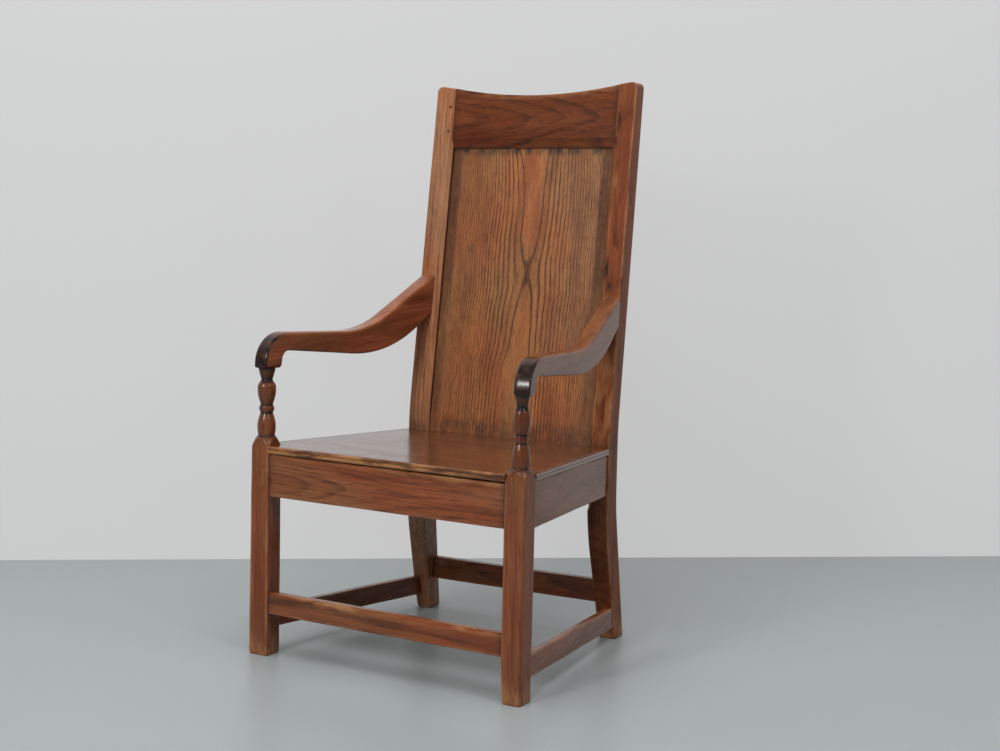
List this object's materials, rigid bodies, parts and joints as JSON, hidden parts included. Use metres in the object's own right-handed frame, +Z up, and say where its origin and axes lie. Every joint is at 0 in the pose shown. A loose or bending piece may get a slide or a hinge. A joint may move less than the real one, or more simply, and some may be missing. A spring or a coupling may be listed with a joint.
{
  "type": "wainscot chair",
  "caption": "Joined wooden armchair with a tall leaning panel back, dished crest rail, turned arm supports, sweeping arms with down-turned hands, board seat and low stretchers.",
  "frame": {"origin": "on the floor, under the middle of the chair's overall box", "axes": "+Z up, the sitter faces -Y, +X to the sitter's left"},
  "size_m": [0.6354, 0.6002, 1.1863],
  "materials": {
    "frame_wood": "old wax polish, worn at the edges",
    "panel_wood": "thin old polish over strong grain",
    "seat_wood": "polished by use, worn pale along the front",
    "peg_wood": "old wax polish",
    "nail_iron": "dark and slightly rusted"
  },
  "bodies": {
    "root": {"front_leg_left": "frame_wood", "front_leg_right": "frame_wood", "back_stile_left": "frame_wood", "back_stile_right": "frame_wood", "crest_rail": "frame_wood", "back_panel": "panel_wood", "seat_board": "seat_wood", "front_seat_rail": "frame_wood", "back_seat_rail": "frame_wood", "side_seat_rail_left": "frame_wood", "side_seat_rail_right": "frame_wood", "front_stretcher": "frame_wood", "back_stretcher": "frame_wood", "side_stretcher_left": "frame_wood", "side_stretcher_right": "frame_wood", "arm_left": "frame_wood", "arm_right": "frame_wood", "crest_pegs": "peg_wood", "seat_rail_pegs": "peg_wood", "stretcher_pegs": "peg_wood", "arm_pegs": "peg_wood", "seat_nails": "nail_iron", "arm_nails": "nail_iron"}
  },
  "joints": []
}
